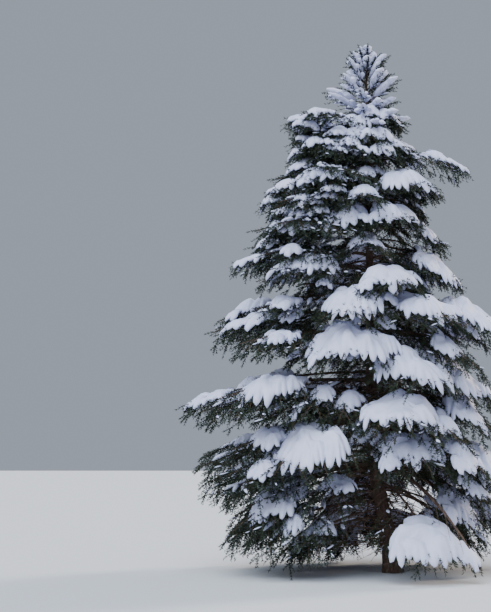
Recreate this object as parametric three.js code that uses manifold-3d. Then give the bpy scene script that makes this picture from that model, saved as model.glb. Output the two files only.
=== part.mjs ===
// A Norway spruce under fresh snow, standing in the open: its trunk, its lower main boughs,
// its masses of needles and the snow cushion that lies on each mass.
// Millimetres, +Z up. The origin is the centre of the flat cut at ground level, and -Y is the front.

import * as THREE from "three";
import { mergeVertices } from "three/addons/utils/BufferGeometryUtils.js";
import Module from "manifold-3d";

const wasm = await Module();
wasm.setup();

// Driving dimensions of the whole tree.
const TREE_HEIGHT = 7500;
const TRUNK_RADIUS = 122;
const TIP_RADIUS = 9;
const FLARE = 42; // how far the root flare stands out at the ground
const FLARE_HEIGHT = 170;
const ROOT_RIDGES = 5;
const LEAN = 235; // how far the stem bends to the left above its foot
const LEAN_HEIGHT = 1000;
const GAP = 0.4; // clearance between two pieces that touch
const CLEARANCE = 2; // clearance between a twig and every piece that it only passes

// Each tier of limbs, from the ground up. attach, crest and tip are heights of the limb at the trunk,
// at its arch and at its end. bough is the share of the limb that is a bare bough, and limbs lists
// each limb's bearing in degrees, from the front towards the right, and its reach from the stem.
const TIERS = [
  { name: "skirt", attach: 1480, crest: 1460, tip: 400, bough: 0.46,
    limbs: [[24, 1900], [98, 1850], [-165, 1750], [-86, 2250]] },
  { name: "low", attach: 2150, crest: 2200, tip: 1290, bough: 0,
    limbs: [[-27, 2120], [62, 2000], [150, 1850], [-106, 2600]] },
  { name: "lower_mid", attach: 3000, crest: 3080, tip: 2260, bough: 0,
    limbs: [[0, 2000], [80, 1980], [174, 1950], [-80, 2820]] },
  { name: "mid", attach: 3900, crest: 4020, tip: 3270, bough: 0,
    limbs: [[-27, 1880], [66, 2050], [150, 1700], [-106, 2400]] },
  { name: "upper_mid", attach: 4780, crest: 4960, tip: 4330, bough: 0,
    limbs: [[10, 1430], [94, 1300], [-178, 1450], [-82, 2080]] },
  { name: "upper", attach: 5520, crest: 5800, tip: 5330, bough: 0,
    limbs: [[-64, 1600], [62, 1500], [174, 1250]] },
  { name: "top", attach: 6150, crest: 6420, tip: 6450, bough: 0,
    limbs: [[-88, 1180], [24, 800], [142, 780]] },
];

// The shape of every limb and of the fan of twigs on it, as shares of its length or reach.
const ARCH_AT = 0.56; // where the arch's control point stands
const FAN_WIDTH = 0.41; // half the fan's width
const FAN_SAG = 0.34; // how far the fan's edges hang, as a share of that half width
const STEM_END = 0.87;
const LIMB_RADIUS = [19, 0.009]; // at the trunk: a base, and a share of the reach
const STEM_TIP_RADIUS = 11;
const TWIGS = 8;
const TWIG_FROM = 0.14;
const TWIG_RADIUS = 13;
const TWIG_DEPTH = 46; // how far the twigs' ends lie under the fan's surface
const TWIG_REACH = [1.12, 0.5]; // of the fan's half width: near the trunk, and how much less at the tip
const TWIG_LEAD = [0.2, 0.12]; // how far forward along the limb a twig runs: near the trunk and at the tip
const TWIG_HANG = [0.6, 0.3]; // how far its tip hangs, as a share of its length: the same two
const GROUND_CLEARANCE = 90;
// Each tooth of a twig, in shares of its length: where it starts, where its point is and how far out.
const TEETH = [
  { from: 0.24, to: 0.58, out: 0.23 },
  { from: 0.6, to: 0.86, out: 0.17 },
];

// The snow cushion on a mass.
const SNOW_FROM = 0.14;
const SNOW_TO = 0.96;
const SNOW_TAPER = 0.36; // the inner end is narrower than the outer end
const SNOW_DEPTH = [62, 0.036];
const SNOW_SEGMENTS = 18; // two for each finger
const SNOW_RINGS = 4;
const SNOW_NOTCH = 0.8; // how far out the rim reaches between two fingers
const SNOW_SHOULDER = 0.45; // the smaller, the further out the snow stays deep
const FINGER_DROP = 0.5; // of the snow's depth

// The leading shoots at the top.
const TIP_WHORLS = [
  { height: 6560, reach: 620, rise: 380, count: 5, turn: 20 },
  { height: 6900, reach: 420, rise: 320, count: 4, turn: 65 },
  { height: 7200, reach: 190, rise: 210, count: 3, turn: 10 },
];
const TIP_SPREAD = 1.4; // the teeth of these shoots, against those of the other twigs
const SLEEVE_RADIUS = 50;
const SLEEVE_MARGIN = [90, 60]; // how far the sleeve reaches under the lowest whorl and over the highest
const SHOOT_ROOT = 8; // how far from the trunk's surface a shoot starts, inside the sleeve
const ARM_HALF_WIDTH = 62; // the snow on a shoot
const ARM_HALF_DEPTH = 40;
const ARM_LIFT = 56; // the height of its middle over the shoot

const COLOURS = { bark: 0x4a372b, needles: 0x1f2c22, snow: 0xe4e9f2 };
const SEED = 20261;

const UP = new THREE.Vector3(0, 0, 1);
const mix = (a, b, share) => a + (b - a) * share;
const scaled = ([base, share], reach) => base + share * reach;

// A repeatable stream of numbers from 0 to 1.
function randomStream(seed) {
  let state = seed >>> 0;
  return () => {
    state = (state * 1664525 + 1013904223) >>> 0;
    return state / 4294967296;
  };
}

// Solids

// The closed solid of a three.js geometry.
function solidOf(geometry) {
  const bare = geometry.clone();
  bare.deleteAttribute("normal");
  bare.deleteAttribute("uv");
  const merged = mergeVertices(bare, 1e-3);
  return new wasm.Manifold(
    new wasm.Mesh({
      numProp: 3,
      vertProperties: merged.getAttribute("position").array,
      triVerts: new Uint32Array(merged.index.array),
    }),
  );
}

function geometryOf(solid) {
  const mesh = solid.getMesh();
  const geometry = new THREE.BufferGeometry();
  geometry.setAttribute("position", new THREE.BufferAttribute(new Float32Array(mesh.vertProperties), 3));
  geometry.setIndex(new THREE.BufferAttribute(new Uint32Array(mesh.triVerts), 1));
  const faceted = geometry.toNonIndexed();
  faceted.computeVertexNormals();
  return faceted;
}

// The largest of the bodies that a cut leaves: loose scraps are dropped.
function largestBody(solid) {
  return solid.decompose().reduce((kept, body) => (body.volume() > kept.volume() ? body : kept));
}

// Every vertex of a geometry moved by a function of its place.
function reshaped(geometry, move) {
  const position = geometry.getAttribute("position");
  const vertex = new THREE.Vector3();
  for (let i = 0; i < position.count; i++) {
    const moved = move(vertex.fromBufferAttribute(position, i));
    position.setXYZ(i, moved.x, moved.y, moved.z);
  }
  return geometry;
}

// A round limb with its rings laid along a path: frameAt(share) gives a ring's centre and its two
// directions, and radiusAt(share, angle) its radius.
function limbSolid({ frameAt, radiusAt, sides, steps }) {
  const cylinder = new THREE.CylinderGeometry(1, 1, 1, sides, steps, false, Math.PI);
  return solidOf(
    reshaped(cylinder, (v) => {
      const share = v.y + 0.5;
      const { centre, side, across } = frameAt(share);
      const radius = radiusAt(share, Math.atan2(v.z, v.x));
      return centre.clone().addScaledVector(side, v.x * radius).addScaledVector(across, v.z * radius);
    }),
  );
}

// Trunk

const leanAt = (z) => -LEAN * (1 - Math.exp(-((z / LEAN_HEIGHT) ** 2)));
const trunkAxis = (z) => new THREE.Vector3(leanAt(z), 0, z);
const trunkRadius = (z) => mix(TRUNK_RADIUS, TIP_RADIUS, (z / TREE_HEIGHT) ** 0.9);

function flareAt(z, angle) {
  const ridge = 0.72 + 0.28 * Math.cos(ROOT_RIDGES * angle + 0.6);
  return FLARE * ridge * Math.exp(-z / FLARE_HEIGHT);
}

function trunkSolid(grow = 0) {
  const steps = 14;
  const heightAt = (share) => TREE_HEIGHT * share ** 1.7; // rings crowd towards the flared foot
  return limbSolid({
    sides: 12,
    steps,
    frameAt: (share) => ({
      centre: trunkAxis(heightAt(share)),
      side: new THREE.Vector3(1, 0, 0),
      across: new THREE.Vector3(0, -1, 0),
    }),
    radiusAt: (share, angle) => {
      const z = heightAt(share);
      return trunkRadius(z) + flareAt(z, angle) + grow;
    },
  });
}

// Limbs

// A limb's line leaves the trunk, arches and hangs to its tip. The fan of twigs lies on a surface
// along that line whose edges hang too.
class Limb {
  constructor(tier, bearing, reach) {
    const angle = THREE.MathUtils.degToRad(bearing);
    this.out = new THREE.Vector3(Math.sin(angle), -Math.cos(angle), 0);
    this.side = new THREE.Vector3(Math.cos(angle), Math.sin(angle), 0);
    this.reach = reach;
    this.bough = tier.bough;
    this.halfWidth = FAN_WIDTH * reach;
    const at = (share, z) => trunkAxis(z).addScaledVector(this.out, reach * share);
    this.curve = new THREE.QuadraticBezierCurve3(
      at(0, tier.attach),
      at(ARCH_AT, tier.crest),
      at(1, tier.tip),
    );
    this.length = this.curve.getLength();
  }

  tangentAt(share) {
    return this.curve.getTangentAt(Math.min(share, 1));
  }

  // The point at a share of the length, a distance to the side and a height over the fan's surface.
  place(share, width, height) {
    const sag = (FAN_SAG * width * width) / this.halfWidth;
    return this.curve
      .getPointAt(Math.min(share, 1))
      .addScaledVector(this.side, width)
      .addScaledVector(UP, height - sag);
  }

  radiusAt(share) {
    return mix(scaled(LIMB_RADIUS, this.reach), STEM_TIP_RADIUS, share / STEM_END);
  }

  // The stretch of the limb between two shares, its top along the fan's surface.
  stretch(from, to, sides, steps) {
    const shareAt = (s) => mix(from, to, s);
    return limbSolid({
      sides,
      steps,
      frameAt: (s) => {
        const share = shareAt(s);
        const tangent = this.tangentAt(share);
        const across = this.side.clone().cross(tangent);
        return { centre: this.place(share, 0, -this.radiusAt(share)), side: this.side, across };
      },
      radiusAt: (s) => this.radiusAt(shareAt(s)),
    });
  }
}

// Snow

// A cushion that lies on a limb's fan, with fingers round its outer rim. grow moves its faces out.
function snowSolid(limb, grow = 0) {
  const inner = Math.max(SNOW_FROM, limb.bough + 0.03);
  const middle = mix(inner, SNOW_TO, 0.5);
  const halfLength = ((SNOW_TO - inner) / 2) * limb.length + grow;
  const depth = scaled(SNOW_DEPTH, limb.reach);
  const sphere = new THREE.SphereGeometry(1, SNOW_SEGMENTS, SNOW_RINGS);
  return solidOf(
    reshaped(sphere, (v) => {
      const angle = Math.atan2(v.z, v.x);
      const segment = Math.round((angle * SNOW_SEGMENTS) / (2 * Math.PI));
      const outward = Math.cos(angle);
      const fringed = outward > -0.7; // the end towards the trunk has no fingers
      const notched = fringed && segment % 2 !== 0;
      const spread = Math.hypot(v.x, v.z);
      const onRim = spread > 0.9;
      const shoulder = v.y > 0 ? SNOW_SHOULDER : 1;
      const radius = spread ** shoulder * (notched && (onRim || v.y > 0) ? SNOW_NOTCH : 1);
      const width = -(limb.halfWidth + grow) * Math.sin(angle) * radius * (1 + SNOW_TAPER * outward);
      const share = middle + (halfLength * outward * radius) / limb.length;
      const droop = onRim && fringed && !notched ? FINGER_DROP * depth : 0;
      const top = v.y > 0.01 ? depth * v.y ** 0.5 + grow : -grow;
      return limb.place(share, width, top - droop);
    }),
  );
}

// Needles

// A twig with its side shoots: a toothed blade with a flat underside and a ridge along its middle,
// which hangs towards its tip.
function toothedTwig({ root, direction, flat, length, droop, spread = 1 }) {
  const along = direction.clone().normalize();
  const up = along.clone().cross(flat).normalize();
  if (up.z < 0) up.negate();
  const across = up.clone().cross(along);
  const points = [];
  const add = (x, y, z) => {
    const at = root
      .clone()
      .addScaledVector(along, x * length)
      .addScaledVector(across, y)
      .addScaledVector(up, z)
      .addScaledVector(UP, -droop * length * x * x);
    return points.push(at.toArray()) - 1;
  };
  const halfWidth = (x) => TWIG_RADIUS * (1 - 0.6 * x);
  const stations = [0, ...TEETH.map(({ from }) => from)];
  const tip = add(1, 0, 0);
  const ridge = [...stations.map((x) => add(x, 0, 1.3 * halfWidth(x))), tip];
  const edge = (side) => [...stations.map((x) => add(x, side * halfWidth(x), 0)), tip];
  const [left, right] = [edge(-1), edge(1)];
  const faces = [[ridge[0], right[0], left[0]]];
  for (const [notches, side] of [[left, -1], [right, 1]]) {
    const half = [
      [ridge[0], notches[0], notches[1]],
      [ridge[0], notches[1], ridge[1]],
    ];
    TEETH.forEach(({ to, out }, i) => {
      const [k, tooth] = [i + 1, add(to, side * out * spread * length, 0)];
      half.push([ridge[k], notches[k], tooth], [ridge[k], tooth, ridge[k + 1]]);
      half.push([notches[k], notches[k + 1], tooth]);
      if (notches[k + 1] !== tip) half.push([ridge[k + 1], tooth, notches[k + 1]]);
    });
    faces.push(...(side === 1 ? half.map((face) => face.toReversed()) : half));
  }
  TEETH.forEach((_, k) => {
    faces.push([left[k], right[k], left[k + 1]], [right[k], right[k + 1], left[k + 1]]);
  });
  faces.push([left.at(-2), right.at(-2), tip]);
  const geometry = new THREE.BufferGeometry();
  geometry.setAttribute("position", new THREE.Float32BufferAttribute(points.flat(), 3));
  geometry.setIndex(faces.flat());
  return solidOf(geometry);
}

// How far a twig may hang, as a share of its length: less where its tip would reach the ground.
function hangOf(end, length, droop) {
  return Math.min(droop, (end.z - GROUND_CLEARANCE) / length);
}

// The twigs of a mass by the branching rule: each leaves the stem on alternate sides, runs forward
// to the fan's edge under the snow and hangs at its tip. One more goes on from the stem's end.
function fanTwigs(limb, random) {
  const from = Math.max(TWIG_FROM, limb.bough + 0.05);
  const twigs = Array.from({ length: TWIGS }, (_, i) => {
    const sign = i % 2 ? 1 : -1;
    const along = (i + 0.5) / TWIGS;
    const share = mix(from, STEM_END - 0.03, along);
    const edge = limb.halfWidth * (TWIG_REACH[0] - TWIG_REACH[1] * along ** 2.4) * mix(0.9, 1.1, random());
    const root = limb.place(share, 0, -limb.radiusAt(share));
    const end = limb.place(share + mix(...TWIG_LEAD, along), sign * edge, -TWIG_DEPTH);
    const direction = end.clone().sub(root);
    return toothedTwig({
      root,
      direction,
      flat: limb.tangentAt(share).addScaledVector(UP, -mix(0.1, 0.5, random())),
      length: direction.length(),
      droop: hangOf(end, direction.length(), mix(...TWIG_HANG, along) * mix(0.9, 1.1, random())),
    });
  });
  const length = limb.length * (1 - STEM_END) + 0.08 * limb.reach;
  const tip = toothedTwig({
    root: limb.place(STEM_END - 0.02, 0, -limb.radiusAt(STEM_END)),
    direction: limb.tangentAt(STEM_END),
    flat: limb.side,
    length,
    droop: hangOf(limb.place(1, 0, -TWIG_DEPTH), length, 0.08),
  });
  return [...twigs, tip];
}

// Assembly

const trunk = trunkSolid();
const aroundTrunk = trunkSolid(GAP);
const standing = new Map([["trunk", trunk]]); // every solid so far, by name
const materials = Object.fromEntries(
  Object.entries(COLOURS).map(([name, color]) => [
    name,
    new THREE.MeshStandardMaterial({ name, color, roughness: name === "snow" ? 0.6 : 0.9, metalness: 0 }),
  ]),
);
const slots = new Map([["trunk", "bark"]]);

function stand(name, slot, solid) {
  standing.set(name, solid);
  slots.set(name, slot);
}

const limbs = TIERS.flatMap((tier) =>
  tier.limbs.map(([bearing, reach], i) => ({
    name: `${tier.name}_${i + 1}`,
    limb: new Limb(tier, bearing, reach),
  })),
);

for (const { name, limb } of limbs) {
  if (limb.bough) stand(`bough_${name}`, "bark", limb.stretch(0, limb.bough, 6, 4).subtract(aroundTrunk));
  const from = limb.bough ? limb.bough + GAP / limb.length : 0;
  stand(`needles_${name}`, "needles", limb.stretch(from, STEM_END, 3, 5).subtract(aroundTrunk));
  stand(`snow_${name}`, "snow", snowSolid(limb));
}

// The tip of the crown: a sleeve round the stem that carries whorls of rising shoots.
function tipShoots() {
  return TIP_WHORLS.flatMap(({ height, reach, rise, count, turn }) =>
    Array.from({ length: count }, (_, i) => {
      const angle = THREE.MathUtils.degToRad(turn + (360 * i) / count);
      const out = new THREE.Vector3(Math.sin(angle), -Math.cos(angle), 0);
      const side = new THREE.Vector3(Math.cos(angle), Math.sin(angle), 0);
      const direction = out.clone().multiplyScalar(reach).addScaledVector(UP, rise);
      const root = trunkAxis(height).addScaledVector(out, trunkRadius(height) + SHOOT_ROOT);
      return { root, direction, side, reach };
    }),
  );
}

function tipSleeve() {
  const low = TIP_WHORLS[0].height - SLEEVE_MARGIN[0];
  const high = TIP_WHORLS.at(-1).height + SLEEVE_MARGIN[1];
  return limbSolid({
    sides: 6,
    steps: 1,
    frameAt: (share) => ({
      centre: trunkAxis(mix(low, high, share)),
      side: new THREE.Vector3(1, 0, 0),
      across: new THREE.Vector3(0, -1, 0),
    }),
    radiusAt: (share) => mix(SLEEVE_RADIUS, SLEEVE_RADIUS * 0.6, share),
  });
}

function tipNeedles() {
  const shoots = tipShoots().map(({ root, direction, side }) =>
    toothedTwig({ root, direction, flat: side, length: direction.length(), droop: 0, spread: TIP_SPREAD }),
  );
  return wasm.Manifold.union([tipSleeve(), ...shoots]).subtract(aroundTrunk);
}

// The snow on the lowest of these whorls: an arm along each shoot, joined round the stem.
// grow moves its faces out.
function tipSnow(grow = 0) {
  const arms = tipShoots()
    .slice(0, TIP_WHORLS[0].count)
    .map(({ root, direction, side, reach }) => {
      const arm = new THREE.SphereGeometry(1, 6, 4);
      const middle = root.clone().addScaledVector(direction, 0.45).addScaledVector(UP, ARM_LIFT);
      return solidOf(
        reshaped(arm, (v) =>
          middle
            .clone()
            .addScaledVector(direction, v.x * (0.55 + grow / reach))
            .addScaledVector(side, -v.z * (ARM_HALF_WIDTH + grow))
            .addScaledVector(UP, v.y * (ARM_HALF_DEPTH + grow)),
        ),
      );
    });
  return wasm.Manifold.union(arms);
}

stand("needles_tip", "needles", tipNeedles().subtract(tipSnow(2 * GAP)));
stand("snow_tip", "snow", tipSnow().subtract(aroundTrunk));

// A twig joins its mass only where it stays clear of every other node.
function isClear(piece, own) {
  const box = piece.boundingBox();
  for (const [name, solid] of standing) {
    if (own.includes(name)) continue;
    const other = solid.boundingBox();
    const apart = [0, 1, 2].some(
      (k) => box.min[k] > other.max[k] + CLEARANCE || other.min[k] > box.max[k] + CLEARANCE,
    );
    if (!apart && piece.minGap(solid, CLEARANCE) < CLEARANCE) return false;
  }
  return true;
}

limbs.forEach(({ name, limb }, i) => {
  const own = [`needles_${name}`, `snow_${name}`];
  const twigs = fanTwigs(limb, randomStream(SEED + i)).filter((twig) => isClear(twig, own));
  const mass = wasm.Manifold.union([standing.get(own[0]), ...twigs]);
  standing.set(own[0], largestBody(mass.subtract(snowSolid(limb, GAP))));
});

const tree = new THREE.Group();
tree.name = "norway_spruce_in_snow";
for (const [name, solid] of standing) {
  const mesh = new THREE.Mesh(geometryOf(largestBody(solid)), materials[slots.get(name)]);
  mesh.name = name;
  tree.add(mesh);
}

export default tree;
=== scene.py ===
"""The looks of a Norway spruce that stands in the open under fresh snow.

Every length is in metres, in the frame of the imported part: +Z is up, -Y is the front, and the
origin is the middle of the flat cut at ground level.
"""

import math
from collections import namedtuple

import bpy
import numpy as np
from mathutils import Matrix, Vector


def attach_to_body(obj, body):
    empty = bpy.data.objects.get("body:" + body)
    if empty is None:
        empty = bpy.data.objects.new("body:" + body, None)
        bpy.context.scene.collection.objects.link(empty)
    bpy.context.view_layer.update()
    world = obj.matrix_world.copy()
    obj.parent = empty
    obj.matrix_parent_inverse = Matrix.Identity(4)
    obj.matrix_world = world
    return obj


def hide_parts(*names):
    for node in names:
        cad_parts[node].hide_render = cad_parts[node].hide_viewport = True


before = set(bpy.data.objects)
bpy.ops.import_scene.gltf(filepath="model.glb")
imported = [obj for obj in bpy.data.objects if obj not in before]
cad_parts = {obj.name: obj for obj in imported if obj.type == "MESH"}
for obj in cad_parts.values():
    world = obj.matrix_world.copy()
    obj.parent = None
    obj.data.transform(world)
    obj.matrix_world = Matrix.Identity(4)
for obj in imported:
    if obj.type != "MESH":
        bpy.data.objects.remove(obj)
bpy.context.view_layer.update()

# The tree's driving sizes, the same as in the part's source.
TREE_HEIGHT = 7.5
TRUNK_RADIUS = 0.122
TIP_RADIUS = 0.009
FLARE = 0.042
FLARE_HEIGHT = 0.17
ROOT_RIDGES = 5
RIDGE_TURN = 0.6
RIDGE_SHARE = 0.28
LEAN = 0.235
LEAN_HEIGHT = 1.0
ARCH_AT = 0.56
FAN_WIDTH = 0.41
FAN_SAG = 0.34
LIMB_RADIUS = (0.019, 0.009)

# The limbs of a tier leave the trunk at the height of attach, arch towards that of crest and end at that
# of tip. Each one has a bearing, in degrees from the front to the photo's right, and a reach.
Tier = namedtuple("Tier", "attach crest tip limbs")
TIERS = {
    "skirt": Tier(1.48, 1.46, 0.40, [(24, 1.90), (98, 1.85), (-165, 1.75), (-86, 2.25)]),
    "low": Tier(2.15, 2.20, 1.29, [(-27, 2.12), (62, 2.00), (150, 1.85), (-106, 2.60)]),
    "lower_mid": Tier(3.00, 3.08, 2.26, [(0, 2.00), (80, 1.98), (174, 1.95), (-80, 2.82)]),
    "mid": Tier(3.90, 4.02, 3.27, [(-27, 1.88), (66, 2.05), (150, 1.70), (-106, 2.40)]),
    "upper_mid": Tier(4.78, 4.96, 4.33, [(10, 1.43), (94, 1.30), (-178, 1.45), (-82, 2.08)]),
    "upper": Tier(5.52, 5.80, 5.33, [(-64, 1.60), (62, 1.50), (174, 1.25)]),
    "top": Tier(6.15, 6.42, 6.45, [(-88, 1.18), (24, 0.80), (142, 0.78)]),
}
TIP_FOOT = 6.22  # the branchlets of the tip leave the leader from here up

# The boughs of each limb that bear a cushion of snow: the turn round the trunk from the limb, in
# degrees, how much lower than the limb they leave the trunk, and the share of its reach. Then come the
# cushion's place along the bough, as a share of it, its half length and its half width.
COMMON_CUSHIONS = [
    (0, 0.05, 0.95, 0.66, 0.40, 0.46), (-34, 0.40, 0.88, 0.66, 0.34, 0.38),
    (30, 0.45, 0.84, 0.64, 0.30, 0.38),
]
CUSHIONS = {
    ("skirt", 1): [(-11, 0.24, 0.91, 0.78, 0.36, 0.42)],
    ("skirt", 2): [
        (0, 0, 1, 0.7, 0.34, 0.38), (-36, 0.05, 0.77, 0.68, 0.28, 0.36),
        (30, 0.35, 0.86, 0.68, 0.3, 0.36),
    ],
    ("skirt", 4): [
        (11, 0.08, 0.96, 0.64, 0.38, 0.32), (51, 0.06, 0.75, 0.64, 0.17, 0.21),
        (22, 0.14, 1.07, 0.68, 0.27, 0.36), (24, 0.72, 0.8, 0.74, 0.15, 0.14),
        (38, 0.62, 0.8, 0.66, 0.13, 0.12),
    ],
    ("low", 1): [(-18, 0.02, 1, 0.65, 0.41, 0.58), (14, 0.1, 0.6, 0.66, 0.15, 0.18)],
    ("low", 2): [
        (-45, 0.1, 0.86, 0.66, 0.28, 0.36), (-20, 0.07, 0.93, 0.74, 0.3, 0.19),
        (6, 0.15, 0.96, 0.68, 0.34, 0.38), (-30, -0.28, 0.88, 0.7, 0.24, 0.26),
        (32, 0.35, 0.86, 0.68, 0.34, 0.36), (-12, 0.46, 0.86, 0.8, 0.22, 0.15),
    ],
    ("low", 4): [(-24, 0.3, 0.82, 0.68, 0.36, 0.4), (40, 0.12, 0.85, 0.72, 0.25, 0.23)],
    ("lower_mid", 1): [
        (20, -0.04, 0.84, 0.66, 0.38, 0.46), (8, 0.5, 0.96, 0.66, 0.34, 0.42),
        (-20, -0.35, 0.82, 0.66, 0.34, 0.62), (-24, 0.48, 0.74, 0.66, 0.15, 0.17),
        (-40, 0.37, 0.84, 0.66, 0.14, 0.15),
    ],
    ("lower_mid", 2): [
        (-12, 0.11, 0.96, 0.66, 0.36, 0.38), (-34, -0.3, 0.9, 0.66, 0.22, 0.22),
        (26, 0.3, 0.86, 0.68, 0.36, 0.38), (-24, 0.5, 0.92, 0.7, 0.26, 0.28),
        (-18, 1.06, 0.89, 0.8, 0.2, 0.15),
    ],
    ("lower_mid", 4): [
        (16, 0.38, 0.87, 0.62, 0.48, 0.42), (-4, 0.36, 0.96, 0.83, 0.3, 0.22),
        (19, -0.28, 0.77, 0.66, 0.26, 0.25), (-30, 0.25, 0.77, 0.68, 0.4, 0.42),
    ],
    ("mid", 1): [(8, 0.07, 0.83, 0.66, 0.31, 0.38), (37, -0.26, 0.72, 0.66, 0.27, 0.32)],
    ("mid", 2): [
        (-32, 0.16, 0.8, 0.62, 0.4, 0.34), (4, 0.13, 0.96, 0.66, 0.34, 0.37),
        (32, 0.25, 0.82, 0.68, 0.34, 0.36),
    ],
    ("mid", 4): [
        (21, 0.32, 0.96, 0.72, 0.35, 0.28), (0, 0.05, 0.96, 0.72, 0.3, 0.26),
        (-26, 0.35, 0.82, 0.68, 0.36, 0.4), (36, 0.17, 0.75, 0.7, 0.2, 0.2),
    ],
    ("upper_mid", 1): [
        (9, -0.23, 0.74, 0.66, 0.26, 0.29), (-44, -0.2, 0.79, 0.66, 0.27, 0.31),
        (-19, -0.77, 0.58, 0.68, 0.12, 0.1),
    ],
    ("upper_mid", 2): [
        (-24, 0.41, 0.97, 0.68, 0.42, 0.32), (-14, -0.06, 0.84, 0.68, 0.22, 0.22),
        (24, 0.25, 0.91, 0.68, 0.3, 0.32),
    ],
    ("upper_mid", 4): [
        (22, 0.61, 0.83, 0.64, 0.42, 0.38), (0, 0.36, 0.95, 0.83, 0.28, 0.18),
        (70, 0.37, 0.52, 0.66, 0.18, 0.21), (2, -0.04, 0.81, 0.72, 0.24, 0.17),
        (-30, 0.25, 0.82, 0.68, 0.34, 0.36), (24, -0.35, 0.54, 0.72, 0.18, 0.16),
        (-2, -0.46, 0.74, 0.87, 0.17, 0.13), (8, -0.25, 0.7, 0.84, 0.18, 0.14),
        (-2, 0.17, 0.82, 0.84, 0.2, 0.17), (8, 0.04, 0.73, 0.8, 0.2, 0.18),
        (32, -0.11, 0.59, 0.78, 0.19, 0.17), (18, -0.14, 0.64, 0.82, 0.19, 0.17),
    ],
    ("upper", 1): [
        (-6, 0.26, 0.92, 0.78, 0.25, 0.19), (-16, -0.3, 0.69, 0.84, 0.18, 0.15),
        (0, -0.22, 0.49, 0.68, 0.17, 0.18), (30, -0.26, 0.58, 0.7, 0.18, 0.18),
        (-46, 0.2, 0.86, 0.68, 0.28, 0.28), (-8, -0.33, 0.67, 0.7, 0.15, 0.13),
        (-11, -0.05, 0.72, 0.84, 0.19, 0.17), (4, 0.15, 0.8, 0.7, 0.18, 0.16),
        (-20, 0.22, 0.91, 0.86, 0.17, 0.13), (6, 0.54, 1, 0.7, 0.14, 0.11),
        (24, 0.23, 0.74, 0.78, 0.18, 0.16), (6, 0.26, 0.84, 0.8, 0.18, 0.16),
        (-8, 0.34, 0.82, 0.82, 0.18, 0.16), (26, 0.43, 0.78, 0.76, 0.18, 0.16),
        (8, 0.56, 0.82, 0.8, 0.19, 0.17), (18, 0.51, 0.78, 0.78, 0.18, 0.16),
        (10, 0.15, 0.77, 0.8, 0.19, 0.17),
    ],
    ("upper", 2): [
        (-22, 0.21, 0.78, 0.62, 0.32, 0.36), (12, -0.21, 0.92, 0.8, 0.3, 0.14),
        (-73, 0.43, 0.83, 0.66, 0.17, 0.15), (-50, -0.28, 0.54, 0.68, 0.16, 0.17),
        (34, 0.15, 0.5, 0.68, 0.18, 0.22), (2, 0.05, 0.52, 0.66, 0.18, 0.16),
    ],
    ("upper", 3): [
        (0, 0.1, 0.96, 0.68, 0.3, 0.32), (-36, 0.3, 0.91, 0.68, 0.28, 0.3),
        (38, 0.2, 0.91, 0.68, 0.28, 0.3), (10, -0.25, 0.67, 0.68, 0.2, 0.22),
    ],
    ("top", 1): [
        (-7, 0, 0.96, 0.83, 0.2, 0.12), (56, 0.13, 0.62, 0.68, 0.15, 0.16),
        (24, 0.3, 0.72, 0.72, 0.16, 0.14), (-40, 0.25, 0.67, 0.68, 0.18, 0.16),
        (40, -0.15, 0.48, 0.68, 0.14, 0.13), (31, -0.09, 0.96, 0.74, 0.18, 0.16),
        (4, 0.12, 0.87, 0.86, 0.14, 0.1), (40, 0.47, 0.95, 0.68, 0.15, 0.14),
        (16, 0.21, 0.98, 0.82, 0.17, 0.15), (30, 0.35, 0.97, 0.78, 0.18, 0.16),
        (42, 0.17, 0.78, 0.75, 0.16, 0.15), (12, 0.4, 0.94, 0.84, 0.14, 0.1),
    ],
    ("top", 2): [
        (-11, 0.15, 0.77, 0.68, 0.18, 0.2), (30, 0.34, 0.86, 0.68, 0.16, 0.17),
        (-44, -0.1, 0.63, 0.72, 0.15, 0.13), (12, -0.16, 0.67, 0.72, 0.13, 0.12),
        (-45, 0.53, 1.13, 0.68, 0.16, 0.16), (13, 0.39, 0.94, 0.68, 0.14, 0.11),
        (-31, 0.25, 0.94, 0.68, 0.14, 0.12), (-19, -0.23, 0.57, 0.68, 0.11, 0.11),
        (46, -0.19, 0.64, 0.68, 0.11, 0.11),
    ],
    ("top", 3): [
        (0, 0.1, 0.96, 0.68, 0.2, 0.2), (-46, 0.25, 0.91, 0.68, 0.18, 0.18),
        (40, 0.2, 0.91, 0.68, 0.18, 0.18),
    ],
}

# Boughs that are only dusted with snow: the turn, how much lower, and the share of the reach.
DUSTED = {
    ("skirt", 3): [(0, 0, 1), (20, 0.4, 0.9)],
    ("skirt", 4): [(0, 0, 1), (-24, 0.3, 1), (24, 0.36, 0.95), (8, 0.5, 0.9)],
    ("low", 3): [(12, 0.3, 0.8)],
    ("low", 4): [
        (0, 0.08, 0.98), (24, 0.26, 0.96), (8, 0.5, 0.96), (40, 0.42, 0.88), (-10, 0.7, 0.88),
        (30, 0.66, 0.9),
    ],
    ("lower_mid", 3): [(12, 0.3, 0.8)],
    ("lower_mid", 4): [(8, 0.5, 0.9)],
    ("mid", 4): [(12, 0.36, 0.85)],
    ("upper_mid", 4): [(12, 0.36, 0.8), (24, 0, 0.8)],
    ("upper", 1): [(20, 0.1, 0.8), (-22, 0.05, 0.85)],
    ("top", 1): [(0, 0.35, 0.8)],
}
BARE = {("skirt", 1): [(0, 0, 1.0)]}
BARE_TWIGS = 13
LEVEL = 0.35  # how far the tips of the boughs on the left side rise back to the crest
TOP_DROOP = 0.24  # how far the tips of the laden boughs of the top tier hang
NEAR_TIP = 0.8  # the share of a bough from which on its cushion counts as near the tip
SMALL_CUSHION = 0.22  # a cushion counts as small when half its width is under this
LEFT_SIDE = [("skirt", 4), ("low", 4), ("lower_mid", 4), ("mid", 4), ("upper_mid", 4), ("upper", 1)]
OPEN_BELOW = [("skirt", 1), ("skirt", 4), ("low", 1), ("low", 4)]  # no inner boughs under these limbs
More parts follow.
